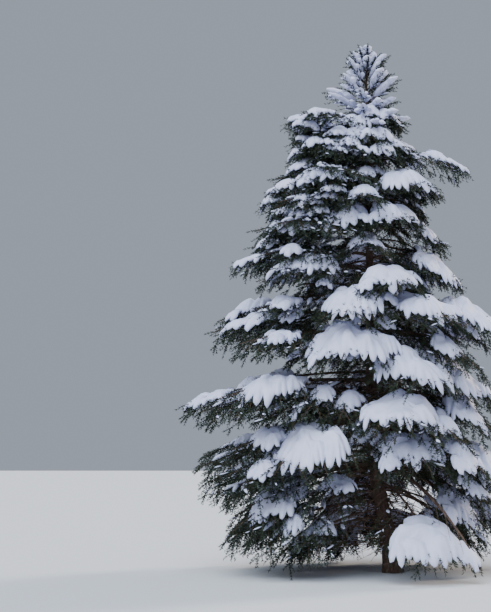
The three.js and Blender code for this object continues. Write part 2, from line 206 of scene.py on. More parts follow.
INNER_LOWER = (0.22, 0.36)  # how much lower than a laden bough its inner one leaves the trunk
INNER_TURN = 14
INNER_SHARE = (0.6, 0.76)
INNER_WIDTH = 0.5
FAN_MARGIN = (0.10, 0.06)  # what a laden fan has beside its cushion: a base, and a share of the reach
DUSTED_WIDTH = 0.33
BARE_WIDTH = 0.15

# What each kind of bough has: side twigs, pairs of shoots on each of them, shoots over the bough
# itself, ridges of snow on it, the chance of dust on a twig, the chance of a streak of snow on a twig
# and how far out it runs, and the shares of the four tones of needles.
Look = namedtuple("Look", "laterals pairs over ridges dust streaks tones")
LOOKS = {
    "laden": Look(19, 4, 18, 0, 0.25, (0.0, 0.45), (0.46, 0.40, 0.06, 0.08)),
    "small": Look(17, 3, 16, 2, 0.35, (0.9, 0.72), (0.40, 0.38, 0.14, 0.08)),
    "inner": Look(10, 4, 10, 0, 0.1, (0.0, 0.45), (0.60, 0.15, 0.0, 0.25)),
    "dusted": Look(24, 6, 28, 5, 0.25, (0.6, 0.45), (0.38, 0.29, 0.26, 0.07)),
}
RIM_TONES = (0.4, 0.44, 0.08, 0.08)  # the same shares, for the shoots under a cushion's rim
LOWEST_TIP = 0.12

UP = np.array([0.0, 0.0, 1.0])
SEED = 20261


def mix(a, b, share):
    return a + (b - a) * share


def unit(vectors):
    return vectors / np.maximum(np.linalg.norm(vectors, axis=-1, keepdims=True), 1e-9)


def smooth(edge_a, edge_b, x):
    t = np.clip((x - edge_a) / (edge_b - edge_a), 0, 1)
    return t * t * (3 - 2 * t)


def compass(angle):
    """The level directions outward and sideways, at angles from the front to the photo's right."""
    sine, cosine, level = np.sin(angle), np.cos(angle), np.zeros_like(angle)
    return np.stack([sine, -cosine, level], -1), np.stack([cosine, sine, level], -1)


def marks_of(line):
    """How far along a line each of its points lies."""
    return np.concatenate([[0], np.cumsum(np.linalg.norm(np.diff(line, axis=0), axis=1))])


def on_line(line, marks, s):
    return np.stack([np.interp(s, marks, column) for column in line.T], -1)


# Meshes

class Soup:
    """Points and triangles collected for one piece, with a material index for each triangle."""

    def __init__(self):
        self.points, self.faces, self.tones, self.count = [], [], [], 0

    def add(self, points, faces, tone=0):
        points, faces = points.reshape(-1, 3), faces.reshape(-1, 3)
        self.points.append(points)
        self.faces.append(faces + self.count)
        self.tones.append(np.broadcast_to(tone, len(faces)))
        self.count += len(points)

    def build(self, name, materials, soft=False):
        points = np.concatenate(self.points).astype(np.float32)
        faces = np.concatenate(self.faces).astype(np.int32)
        mesh = bpy.data.meshes.new(name)
        mesh.vertices.add(len(points))
        mesh.vertices.foreach_set("co", points.ravel())
        mesh.loops.add(faces.size)
        mesh.loops.foreach_set("vertex_index", faces.ravel())
        mesh.polygons.add(len(faces))
        mesh.polygons.foreach_set("loop_start", np.arange(0, faces.size, 3, dtype=np.int32))
        mesh.polygons.foreach_set("material_index", np.concatenate(self.tones).astype(np.int32))
        mesh.polygons.foreach_set("use_smooth", np.full(len(faces), soft))
        mesh.update(calc_edges=True)
        for material in materials:
            mesh.materials.append(material)
        piece = bpy.data.objects.new(name, mesh)
        bpy.context.scene.collection.objects.link(piece)
        return piece


def walls(index):
    """Triangles between neighbouring rings of points, numbered in index[..., ring, place]."""
    a, c = index[..., :-1, :], index[..., 1:, :]
    b, d = np.roll(a, -1, -1), np.roll(c, -1, -1)
    return np.concatenate([np.stack(corners, -1).reshape(-1, 3) for corners in ((a, b, d), (a, d, c))])


def cap(hub, ring):
    """Triangles from one point to the ring of points round it."""
    return np.stack([np.full(len(ring), hub), ring, np.roll(ring, -1)], -1)


def closed(index):
    """Triangles of a body of rings. The points at its two ends come after those of the rings."""
    caps = cap(index.size, index[0])[:, ::-1], cap(index.size + 1, index[-1])
    return np.concatenate([walls(index), *caps])


def frames(direction):
    """Two directions across each of the given unit directions."""
    steep = np.abs(direction[..., 2:]) > 0.9
    helper = np.where(steep, (1.0, 0.0, 0.0), UP)
    u = unit(np.cross(direction, helper))
    return u, np.cross(direction, u)


def tubes(paths, radii, sides=3):
    """Closed tubes along paths of shape (n, k, 3). The radii are for the points of all paths or of
    each path, or for each corner of the rings round them."""
    n, k, _ = paths.shape
    tangent = unit(np.gradient(paths, axis=1))
    u, _ = frames(unit(paths[:, -1] - paths[:, 0]))
    u = unit(u[:, None] - tangent * np.sum(u[:, None] * tangent, -1, keepdims=True))
    v = np.cross(tangent, u)
    angle = 2 * np.pi * np.arange(sides) / sides
    ring = np.cos(angle)[:, None] * u[:, :, None] + np.sin(angle)[:, None] * v[:, :, None]
    radii = np.broadcast_to(radii, (n, k)) if np.ndim(radii) < 3 else radii
    points = paths[:, :, None] + np.reshape(radii, (n, k, -1, 1)) * ring
    index = np.arange(n * k * sides).reshape(n, k, sides)
    caps = [index[:, 0, [0, i + 1, i]] for i in range(1, sides - 1)]
    caps += [index[:, -1, [0, i, i + 1]] for i in range(1, sides - 1)]
    return points, np.concatenate([walls(index), *caps])


# Trunk

TRUNK_SIDES = 68
FINE_HEIGHT = 2.4  # the rows of points lie close up to here, where the bark is seen
FINE_ROWS = 180
UPPER_ROWS = 70
BARK_SCALES = [(0.062, 17, 0.0065), (0.026, 34, 0.0025)]  # height, number round the trunk, and relief
BARK_SINK = 0.004
FULL_RELIEF = 0.05  # the trunk's radius from which on its bark has the full relief
THINNEST = 0.006


def lean_at(z):
    return -LEAN * (1 - np.exp(-((z / LEAN_HEIGHT) ** 2)))


def trunk_axis(z):
    z = np.asarray(z, float)
    return np.stack([lean_at(z), np.zeros_like(z), z], -1)


def trunk_radius(z):
    return mix(TRUNK_RADIUS, TIP_RADIUS, (z / TREE_HEIGHT) ** 0.9)


def flare_at(z, angle):
    ridge = mix(1, np.cos(ROOT_RIDGES * angle + RIDGE_TURN), RIDGE_SHARE)
    return FLARE * ridge * np.exp(-z / FLARE_HEIGHT)


def plates(around, along, cells_around, rng):
    """Bark scales on a grid of cells with jittered middles, from 0 in the cracks to 1 on a scale.
    around runs once round the trunk from 0 to 1, and along is counted in cells."""
    rows = int(along.max()) + 4
    jitter = rng.uniform(0.15, 0.85, (rows, cells_around, 2))
    raised = rng.uniform(0.35, 1.0, (rows, cells_around))
    x, y = around * cells_around, along + 1
    column, row = np.floor(x).astype(int), np.floor(y).astype(int)
    near, second, lift = np.full(x.shape, 9.0), np.full(x.shape, 9.0), np.zeros(x.shape)
    for down in (-1, 0, 1):
        for over in (-1, 0, 1):
            r, c = row + down, (column + over) % cells_around
            distance = np.hypot(column + over + jitter[r, c, 0] - x, row + down + jitter[r, c, 1] - y)
            closer = distance < near
            second = np.where(closer, near, np.minimum(second, distance))
            lift = np.where(closer, raised[r, c], lift)
            near = np.minimum(near, distance)
    return smooth(0.02, 0.3, second - near) * lift


def trunk_mesh(soup, rng):
    fine = np.linspace(0, FINE_HEIGHT, FINE_ROWS)
    z = np.concatenate([fine, np.linspace(FINE_HEIGHT, TREE_HEIGHT, UPPER_ROWS)[1:]])
    around = np.arange(TRUNK_SIDES) / TRUNK_SIDES
    z, around = np.meshgrid(z, around, indexing="ij")
    angle = 2 * np.pi * around
    relief = sum(depth * plates(around, z / height, cells, rng) for height, cells, depth in BARK_SCALES)
    relief = relief * np.minimum(trunk_radius(z) / FULL_RELIEF, 1)
    radius = trunk_radius(z) + flare_at(z, angle) + relief - BARK_SINK
    radius = np.maximum(radius, THINNEST)
    points = trunk_axis(z)
    points[..., 0] += radius * np.cos(angle)
    points[..., 1] += radius * np.sin(angle)
    index = np.arange(z.size).reshape(z.shape)
    ends = np.stack([trunk_axis(0.0), trunk_axis(TREE_HEIGHT)])
    soup.add(np.concatenate([points.reshape(-1, 3), ends]), closed(index))


# Boughs

THIN_BOUGH = 0.6  # the thickness of a further bough, as a share of the limb's
BOUGH_TIP_RADIUS = 0.008
LINE_POINTS = 65
WOOD_RINGS = 14
WOOD_SIDES = 6


class Bough:
    """A bough's line leaves the trunk, arches and hangs to its tip. The fan of twigs lies on a
    surface along that line whose edges hang too."""

    def __init__(self, tier, bearing, reach, turn, lower, share, width, rise):
        self.out, self.side = compass(math.radians(bearing + turn))
        self.reach = reach * share
        self.half_width = min(FAN_WIDTH * self.reach, width)
        main = lower == 0 and share == 1
        self.thinner = 1.0 if main else THIN_BOUGH
        attach = tier.attach - lower
        crest = attach + (tier.crest - tier.attach) * share
        tip = attach + (tier.tip - tier.attach) * share
        tip = max(tip + (0 if main else rise), LOWEST_TIP)
        start = trunk_axis(attach)
        arch = trunk_axis(crest) + self.out * self.reach * ARCH_AT
        end = trunk_axis(tip) + self.out * self.reach
        t = np.linspace(0, 1, LINE_POINTS)[:, None]
        self.line = (1 - t) ** 2 * start + 2 * t * (1 - t) * arch + t**2 * end
        self.marks = marks_of(self.line)
        self.length = self.marks[-1]
        self.end_tangent = unit(self.line[-1] - self.line[-2])

    def at(self, s):
        """The point at a distance along the line, which runs straight on past its end."""
        inside = np.clip(s, 0, self.length)
        past = np.asarray(s - inside)[..., None] * self.end_tangent
        return on_line(self.line, self.marks, inside) + past

    def place(self, s, w, h):
        """The point at a distance along, a distance to the side and a height over the fan."""
        s, w, h = np.broadcast_arrays(s, w, h)
        sag = FAN_SAG * w * w / self.half_width
        return self.at(s) + w[..., None] * self.side + (h - sag)[..., None] * UP

    def radius_at(self, share):
        foot = LIMB_RADIUS[0] + LIMB_RADIUS[1] * self.reach
        return self.thinner * mix(foot, BOUGH_TIP_RADIUS, share)


def above_ground(points, room=0.05):
    """Points that would sink into the ground lie just over it."""
    raised = points.copy()
    z = points[..., 2]
    raised[..., 2] = 0.5 * (z + np.sqrt(z * z + 4 * room * room))
    return raised


# Snow

SNOW_TAPER = 0.12
SNOW_DEPTH = (0.055, 0.16)  # a base, and a share of the cushion's half width
RIM_LOBES = ((2, 0.08), (3, 0.08), (5, 0.07), (9, 0.03))  # how many round the rim, and how large
FINGER_SPACING = 0.115
FINGER_LENGTH = (0.05, 0.19)
FINGER_PLACES = (0, 0.24, 0.52, 0.8)  # the columns of a finger, from the gap before it on
FINGER_SHARES = (0, 0.74, 1.0, 0.68)
FINGER_BEND = (45, 180)  # in degrees: a base, and what a metre of length adds
LAST_BEND = 0.2  # the length from which on a finger bends no further
PLAIN_BEND = 55
BACK_COLUMNS = 8
BACK_REACH = 0.01
SHOULDER = 0.085  # how far inside the rim the snow starts to round over
SHOULDER_HEIGHT = 0.72  # the snow's depth there, as a share of the depth in the middle
RIM_DEPTH = 0.036
UNDERSIDE = 0.02
FRINGE_END = 2.35  # the angle from the tip, in radians, where the fingers stop
DOME_ROWS = (0.3, 0.6, 0.85, 1.0)
RIM_ROWS = (0.35, 0.7, 0.93, 1.0)
HUMP_SPACING = 0.27  # the snow lies in humps, with creases between them
CREASE = 0.5  # how deep the creases are, and how high the waves of the top, as shares of the depth
WAVE = 0.19
CREASE_WIDTH = 0.13
SIDE_CHANCE = 0.25
WIDE_CUSHION = 0.45  # half the width of a cushion that leaves no room at its sides
SHORT_REACH = 0.7
LUMP_SIZE = ((0.045, 0.09), (0.017, 0.03), (0.010, 0.018))  # half length, half width and height


class Cushion:
    """A cushion of snow on a bough's fan: a dome with fingers along its rim that bend down."""

    def __init__(self, bough, middle, half, rng):
        self.bough = bough
        self.middle = np.array(middle)
        self.half = half
        self.depth = SNOW_DEPTH[0] + SNOW_DEPTH[1] * half[1]
        self.lay_rim(rng)
        self.lay_columns(rng)
        self.waves = rng.uniform((0, 0, 5), (2 * np.pi, 2 * np.pi, 17), (7, 3))
        rows, columns = (np.maximum(np.round(2 * np.array(half) / HUMP_SPACING), 1)).astype(int)
        grid = np.stack(np.meshgrid(np.arange(rows) + 0.5, np.arange(columns) + 0.5), -1).reshape(-1, 2)
        grid = grid + rng.uniform(-0.35, 0.35, grid.shape)
        self.humps = self.middle + (2 * grid / (rows, columns) - 1) * np.array(half)

    def lay_rim(self, rng):
        """The rim without its fingers, as a fine line in the fan's plane."""
        angle = np.linspace(-np.pi, np.pi, 721)
        lobes = 1 + sum(size * np.cos(k * angle + rng.uniform(0, 2 * np.pi)) for k, size in RIM_LOBES)
        along = self.half[0] * np.cos(angle) * lobes
        width = self.half[1] * np.sin(angle) * (1 + SNOW_TAPER * np.cos(angle)) * lobes
        self.rim = self.middle + np.stack([along, width], -1)
        self.angle = angle
        self.arc = marks_of(self.rim)

    def lay_columns(self, rng):
        """Where the columns of the mesh stand round the rim, and how far each one reaches past it."""
        first, last = np.interp([-FRINGE_END, FRINGE_END], self.angle, self.arc)
        count = max(int(round((last - first) / FINGER_SPACING)), 4)
        widths = rng.uniform(0.7, 1.35, count)
        widths *= (last - first) / widths.sum()
        starts = first + np.cumsum(widths) - widths
        lengths = mix(*FINGER_LENGTH, rng.random(count) ** 1.4) * min(1, 0.5 + self.half[1])
        lengths *= widths / widths.mean() * 0.5 + 0.5
        arcs = starts[:, None] + widths[:, None] * np.array(FINGER_PLACES)
        self.fingers = np.arange(arcs.size).reshape(arcs.shape)
        reach = lengths[:, None] * np.array(FINGER_SHARES)
        beside = np.minimum(lengths, np.roll(lengths, 1))
        reach[:, 0] = beside * np.clip(rng.uniform(-0.5, 0.45, count), 0, 1)
        total = self.arc[-1]
        back = np.linspace(last, first + total, BACK_COLUMNS)[1:-1]  # plain columns without fingers
        arcs = np.mod(np.concatenate([arcs.ravel(), back]), total)
        self.reach = np.concatenate([reach.ravel(), np.full(len(back), BACK_REACH)])
        share = np.concatenate([np.tile(FINGER_SHARES, count), np.full(len(back), -1)])
        self.gap, self.plain = share == 0, share < 0
        self.flank = np.where(share > 0, 1 - share, 0)
        edge = on_line(self.rim, self.arc, arcs)
        step = unit(on_line(self.rim, self.arc, np.mod(arcs + 0.02, total)) - edge)
        outward = np.stack([step[:, 1], -step[:, 0]], -1)
        facing = np.interp(arcs, self.arc, np.cos(self.angle))
        outward[:, 0] += np.where(self.plain, 0, 0.55 * (1 - facing**2) + 0.2)
        self.outward = unit(outward)
        self.inset = min(SHOULDER, 0.4 * min(self.half))
        self.foot = edge - self.outward * self.inset

    def swell(self, s, w):
        """The unevenness of the top: soft waves, and creases between the humps."""
        total = np.zeros_like(s)
        for heading, phase, waves in self.waves:
            total += np.sin(waves * (s * math.cos(heading) + w * math.sin(heading)) + phase) * 6 / waves
        total *= WAVE * self.depth
        if len(self.humps) < 2:
            return total
        apart = np.hypot(s[..., None] - self.humps[:, 0], w[..., None] - self.humps[:, 1])
        apart = np.sort(apart, axis=-1)
        crease = 1 - smooth(0, CREASE_WIDTH, apart[..., 1] - apart[..., 0])
        return total - CREASE * self.depth * crease

    def rim_point(self, v, lift):
        """A point on every column between the shoulder, v = 0, and the tip, v = 1, lifted off the
        bent surface by lift."""
        span = self.inset + self.reach
        bend = FINGER_BEND[0] + FINGER_BEND[1] * np.minimum(self.reach, LAST_BEND)
        bend = np.radians(np.where(self.gap | self.plain, PLAIN_BEND, bend))
        radius = span / bend
        out = (radius + lift) * np.sin(bend * v)
        down = radius - (radius + lift) * np.cos(bend * v)
        s, w = (self.foot + self.outward * out[:, None]).T
        return self.bough.place(s, w, -down)

    def mesh(self):
        shoulder = SHOULDER_HEIGHT * self.depth
        groove = np.where(self.gap, -0.2, np.where(self.plain, 0, 0.1 - 0.3 * self.flank)) * self.depth
        rows = []
        for u in DOME_ROWS:
            s, w = mix(self.middle, self.foot, u).T
            height = mix(self.depth, shoulder, u**2.2) + self.swell(s, w)
            rows.append(self.bough.place(s, w, height))
        for v in RIM_ROWS:
            thickness = mix(shoulder, RIM_DEPTH, v**0.75) + groove * smooth(0, 0.5, v) * (1 - v)
            thickness = thickness + self.swell(*self.foot.T) * (1 - v) ** 2
            thickness = thickness * (1 - 0.35 * self.flank) * math.sqrt(max(1 - v**4, 0))
            rows.append(self.rim_point(v, thickness))
        rows.append(self.rim_point(0.72, -0.6 * UNDERSIDE))
        rows.append(self.rim_point(0.0, -UNDERSIDE))
        top = self.bough.place(*self.middle, self.depth + self.swell(*self.middle))
        below = self.bough.place(*self.middle, -UNDERSIDE)
        points = np.concatenate([*rows, top[None], below[None]])
        index = np.arange(len(points) - 2).reshape(len(rows), -1)
        return above_ground(points), closed(index)[:, ::-1]

    def rim_shoots(self, rng):
        """Shoots under the rim: one along each finger and past its tip, one in each gap between two
        fingers, and a lower one that turns a little aside from each finger."""
        level = -0.9 * UNDERSIDE
        inner, end = self.rim_point(0.3, level), self.rim_point(1.0, level)
        middle = self.fingers[:, self.fingers.shape[1] // 2]
        line = end[middle] - inner[middle]
        length = np.linalg.norm(line, axis=1) + rng.uniform(0.03, 0.09, len(middle))
        yield inner[middle], line, length
        gaps = self.fingers[:, 0]
        root = self.rim_point(0.0, level)[gaps]
        heading = self.rim_point(0.9, level)[gaps] - root
        yield root, heading, rng.uniform(0.15, 0.25, len(gaps))
        root = self.rim_point(0.35, level)[middle]
        aside = np.cross(unit(line), UP) * rng.uniform(-0.4, 0.4, (len(middle), 1))
        yield root, unit(line) + aside - 0.25 * UP, rng.uniform(0.15, 0.23, len(middle))


def cushions_of(bough, large, rng):
    """The cushions on a bough: its own, if it has one, and now and then small ones at the fan's
    sides. Gives each one's middle and half sizes."""
    length, width = bough.length, bough.half_width
    along, half_length, half_width = large or (0, 0, 0)
    if large:
        yield (along * length, 0.0), (half_length, half_width)
    chance = SIDE_CHANCE if half_width < WIDE_CUSHION else 0
    for side in (-1, 1):
        for place in (0.5, 0.75):
            if rng.random() < chance and bough.reach > SHORT_REACH:
                size = rng.uniform(0.6, 1.2)
                room = max(half_width + 0.06, 0.42 * width)
                middle = ((place + rng.uniform(-0.1, 0.1)) * length, side * min(room, 0.9 * width))
                yield middle, (0.06 * length * size, 0.12 * width * size + 0.03)


def lump_template():
    """A lump of snow of unit half length along x: almost flat below and round above."""
    sides = 5
    angle = 2 * np.pi * np.arange(sides) / sides
    rim = np.stack([np.cos(angle), np.sin(angle), np.zeros(sides)], -1)
    shoulder = rim * 0.74 + UP * 0.75
    points = np.concatenate([rim, shoulder, [[0, 0, 1.0], [0, 0, -0.25]]])
    index = np.arange(2 * sides).reshape(2, sides)
    top, low = 2 * sides, 2 * sides + 1
    return points, np.concatenate([walls(index), cap(top, index[1]), cap(low, index[0])[:, ::-1]])


def lay_lumps(at, lay, scale, rng, bits):
    """Low lumps of snow, longest along the twig or shoot that they lie on."""
    count = len(at)
    if count == 0:
        return
    size = np.stack([rng.uniform(*span, count) for span in LUMP_SIZE], -1)
    size = scale * size * rng.uniform(0.5, 1.2, (count, 1))
    template, faces = lump_template()
    along = unit(lay * (1, 1, 0.5))
    across = unit(np.cross(UP, along))
    shape = template * rng.uniform(0.8, 1.2, (count, len(template), 1)) * size[:, None]
    points = (at + UP * 0.008)[:, None]
    for k, direction in enumerate((along, across, np.cross(along, across))):
        points = points + shape[..., k, None] * direction[:, None]
    offsets = (np.arange(count) * len(template))[:, None, None]
    bits.add(above_ground(points, 0.02), faces + offsets)


# Needles

NEEDLES = 14
NEEDLE_LENGTH = 0.040
NEEDLE_WIDTH = 0.014
NEEDLE_LEAN = (1.05, 0.62)  # the angle from the stem, in radians, at its root and at its tip
STEM_RADIUS = 0.0035
GOLDEN_ANGLE = 2.39996


class Shoots(list):
    """Needle-clad shoots, each one straight from its root."""

    def add(self, root, direction, length, tone):
        root, direction = root.reshape(-1, 3), unit(direction).reshape(-1, 3)
        length, tone = (np.broadcast_to(np.ravel(value), len(root)) for value in (length, tone))
        self.append((root, direction, length, tone))


def clothe(soup, shoots, rng):
    """Turns shoots into thin stems with a needle of one long triangle at each place."""
    root, direction, length, tone = map(np.concatenate, zip(*shoots))
    n = len(root)
    u, v = frames(direction)
    t = (np.arange(NEEDLES) + 0.4) / NEEDLES
    turn = GOLDEN_ANGLE * np.arange(NEEDLES) + rng.uniform(0, 2 * np.pi, (n, 1))
    lean = mix(*NEEDLE_LEAN, t) + rng.uniform(-0.15, 0.15, (n, NEEDLES))
    radial = np.cos(turn)[..., None] * u[:, None] + np.sin(turn)[..., None] * v[:, None]
    heading = np.cos(lean)[..., None] * direction[:, None] + np.sin(lean)[..., None] * radial
    heading = unit(heading + 0.12 * UP)
    foot = root[:, None] + direction[:, None] * (length[:, None] * t)[..., None]
    roll = rng.uniform(-0.9, 0.9, (n, NEEDLES, 1))
    flat = np.cross(heading, direction[:, None])
    edge = unit(np.cos(roll) * unit(np.cross(flat, heading)) + np.sin(roll) * unit(flat))
    half = edge * (NEEDLE_WIDTH / 2)
    size = NEEDLE_LENGTH * rng.uniform(0.8, 1.15, (n, NEEDLES, 1)) * mix(1, 0.8, t)[:, None]
    points = np.stack([foot - half, foot + half, foot + heading * size], 2)
    soup.add(above_ground(points, 0.01), np.arange(n * NEEDLES * 3), np.repeat(tone, NEEDLES))
    ring = np.stack([u, -0.5 * u + 0.87 * v, -0.5 * u - 0.87 * v], 1) * STEM_RADIUS
    stem = np.concatenate([root[:, None] + ring, (root + direction * length[:, None])[:, None]], 1)
    corner = np.array([[0, 1, 3], [1, 2, 3], [2, 0, 3]])
    soup.add(above_ground(stem, 0.01), (np.arange(n) * 4)[:, None, None] + corner, np.repeat(tone, 3))


# Twigs

BARE_INSIDE = {"skirt": 0.8, "low": 0.62, "lower_mid": 0.34, "mid": 0.2}  # shares of a bough
BARE_ELSEWHERE = 0.12
NEEDLES_FROM = 0.55  # how near the trunk, as a share of the bare stretch, a twig still has needles
TWIG_RADIUS = 0.0065
TWIG_FEET = (0.13, 0.86)  # where the first and the last side twig leave a bough
TWIG_LEAD = (0.2, 0.10)  # how far forward they run
SHOOT_LENGTH = (0.12, 0.18)
END_LENGTH = (0.13, 0.17)
HANGING_LENGTH = (0.11, 0.15)
OVER_LENGTH = (0.13, 0.18)
STREAK_WIDTH = (0.022, 0.038)
RIDGE_WIDTH = (0.025, 0.042)
STREAK_SLOPE = 0.5  # the steepest twig that holds a streak of snow
DUST_SLOPE = 0.6
STRIP_SECTION = np.array([1, 0.72, 0.72, 1, 0.72, 0.72])


def lateral_paths(bough, rng, count):
    """The side twigs of a bough by the branching rule: each leaves it on alternate sides and runs
    forward under the snow to the fan's edge. Gives each path and how far out along the bough it is."""
    along = (np.arange(count) + rng.uniform(0.2, 0.8, count)) / count
    sign = np.where(np.arange(count) % 2, 1, -1)
    start = mix(*TWIG_FEET, along) * bough.length
    lead = mix(*TWIG_LEAD, along) * bough.length
    edge = sign * bough.half_width * (1.0 - 0.55 * along**2.4) * rng.uniform(0.85, 1.05, count)
    t = np.linspace(0, 1, 6)
    s = start[:, None] + lead[:, None] * t
    droop = 0.05 * min(bough.reach, 2.0) * rng.uniform(0.3, 1.3, (count, 1))
    depth = 0.02 + 0.03 * t + droop * t**4
    wander = 0.02 * np.sin(t * 5 + rng.uniform(0, 6, (count, 1))) * t
    return bough.place(s + wander, edge[:, None] * t, -depth), along


def along_paths(paths, t):
    """Points and headings at shares t of paths of shape (n, k, 3). The shares are of shape (n, m),
    or the same for every path."""
    t = t + np.zeros((len(paths), 1))
    k = paths.shape[1] - 1
    cell = np.clip(np.floor(t * k).astype(int), 0, k - 1)
    row = np.arange(len(paths))[:, None]
    low, high = paths[row, cell], paths[row, cell + 1]
    return mix(low, high, (t * k - cell)[..., None]), unit(high - low)


def strips(soup, paths, width, rng):
    """Long low heaps of snow that lie along paths of shape (n, k, 3)."""
    n, k, _ = paths.shape
    t = np.linspace(0, 1, k)
    swell = np.sqrt(np.clip(1 - (2 * t - 1) ** 4, 0.05, 1)) * rng.uniform(0.75, 1.2, (n, k))
    radius = np.reshape(width, (-1, 1)) * swell
    around = rng.uniform(0.85, 1.15, (n, k, 6)) * radius[..., None] * STRIP_SECTION
    middle = above_ground(paths + radius[..., None] * 0.5 * UP, 0.03)
    soup.add(*tubes(middle, around, sides=6))


def dust(paths, share, rng, bits):
    """Snow on the outer parts of some twigs that don't hang too steeply."""
    spots = mix(0.45, 0.95, rng.random((len(paths), 2)))
    at, lay = along_paths(paths, spots)
    keep = (rng.random(spots.shape) < share) & (np.abs(lay[..., 2]) < DUST_SLOPE)
    lay_lumps(at[keep], lay[keep], 1.3, rng, bits)


def lateral_twigs(bough, rng, count, twigs):
    paths, along = lateral_paths(bough, rng, count)
    paths = above_ground(paths)
    taper = np.linspace(1, 0.3, paths.shape[1])
    twigs.add(*tubes(paths, TWIG_RADIUS * mix(1.1, 0.7, along)[:, None] * taper))
    return paths, along


def side_sprays(bough, look, paths, inside, rng, grown):
    """Shoots in the fan's plane on both sides of each twig and at its end, some with snow on them."""
    count, pairs = len(paths), look.pairs
    t = mix(mix(0.3, 0.75, inside)[:, None], 0.96, np.linspace(0, 1, pairs))
    t = np.repeat(t, 2, axis=1) + rng.uniform(-0.06, 0.06, (count, 2 * pairs))
    t = np.clip(t, 0.05, 0.99)
    root, heading = along_paths(paths, t)
    sign = np.tile([1, -1], pairs)[:, None]
    across = unit(np.cross(heading, UP))
    spread = rng.uniform(0.5, 0.95, t.shape)[..., None]
    hang = rng.uniform(-0.1, 0.3, t.shape)[..., None]
    heading = unit(heading + sign * spread * across + 0.3 * bough.out - hang * UP)
    length = rng.uniform(*SHOOT_LENGTH, t.shape) * mix(1.1, 0.85, t)
    tone = rng.choice(4, t.shape, p=look.tones)
    grown.shoots.add(root, heading, length, tone)
    held = rng.random(t.shape) < 0.3 * look.dust
    lay_lumps((root + heading * 0.5 * length[..., None])[held], heading[held], 0.9, rng, grown.bits)
    grown.shoots.add(*along_paths(paths, 0.95), rng.uniform(*END_LENGTH, count), 1)


def streaks(paths, chance, far, rng, bits):
    """Streaks of snow that lie on some of the level twigs, from the bough outward."""
    level = np.abs(unit(paths[:, -1] - paths[:, 0])[:, 2]) < STREAK_SLOPE
    streaked = (rng.random(len(paths)) < chance) & level
    count = streaked.sum()
    if count:
        at = rng.uniform(0.0, 0.12, (count, 1)) + np.linspace(0.0, far, 5)
        middle, _ = along_paths(paths[streaked], at)
        strips(bits, middle, rng.uniform(*STREAK_WIDTH, count), rng)


def hanging_sprays(bough, paths, rng, shoots):
    """Sprays of two shoots that hang a little under some of the twigs."""
    hangs = rng.random(len(paths)) < 0.4 * bough.reach
    paths, count = paths[hangs], hangs.sum()
    root, heading = along_paths(paths, mix(0.45, 0.9, rng.random((count, 1))))
    aside = unit(np.cross(heading, UP)) * rng.uniform(-0.5, 0.5, (count, 1, 1))
    first = unit(heading + aside - rng.uniform(0.2, 0.8, (count, 1, 1)) * UP)
    length = rng.uniform(*HANGING_LENGTH, (count, 1, 1))
    tone = rng.choice(2, count)
    shoots.add(root, first, length, tone)
    shoots.add(root + first * (length * 0.95), first - 0.25 * UP, length * 0.9, tone)


def shoots_over(bough, bare, count, rng, shoots):
    """Shoots over the bough itself, and two at its tip."""
    s = np.linspace(mix(0.2, 1, 0.65 * bare), 0.975, count) * bough.length
    side = np.where(np.arange(count) % 2, 1, -1) * rng.uniform(0.3, 0.9, count)
    side[-2:] = 0
    forward = unit(bough.at(s + 0.05) - bough.at(s - 0.05))
    heading = forward + side[:, None] * bough.side + rng.uniform(-0.45, 0.2, (count, 1)) * UP
    root = above_ground(bough.place(s - 0.04, 0, 0.0))
    shoots.add(root, heading, rng.uniform(*OVER_LENGTH, count), rng.choice(2, count))


def dress(bough, tier, look, rng, grown):
    """Twigs, shoots and loose snow of one bough."""
    bare = BARE_INSIDE.get(tier, BARE_ELSEWHERE)
    count = max(int(look.laterals * min(1, 0.35 + 0.34 * bough.reach)), 6)
    paths, along = lateral_twigs(bough, rng, count, grown.twigs)
    # The twigs nearest the trunk have lost their needles.
    inside = np.clip((bare - along) / bare, 0, 1)
    leafy = inside < NEEDLES_FROM
    paths = paths[leafy]
    side_sprays(bough, look, paths, inside[leafy], rng, grown)
    dust(paths, look.dust, rng, grown.bits)
    streaks(paths, *look.streaks, rng, grown.bits)
    hanging_sprays(bough, paths, rng, grown.shoots)
    shoots_over(bough, bare, look.over, rng, grown.shoots)
    # Broken ridges of snow lie along the top of a bough with a small cushion or none.
    if look.ridges:
        start = rng.uniform(0.25, 0.8, look.ridges)[:, None]
        ridge = bough.place((start + np.linspace(0, 0.13, 6)) * bough.length, 0, 0.005)
        strips(grown.bits, ridge, rng.uniform(*RIDGE_WIDTH, look.ridges), rng)


BRANCHLETS = 44
BRANCHLET_REACH = (0.76, 0.16)
BRANCHLET_RISE = (-0.08, 1.0)  # shares of the reach
HIGHEST_FOOT = 7.3
HIGHEST_END = 7.46
BRANCHLET_SNOW = (0.036, 0.068)
SIDE_SNOW = (0.028, 0.052)
LEADER_SHOOTS = 40


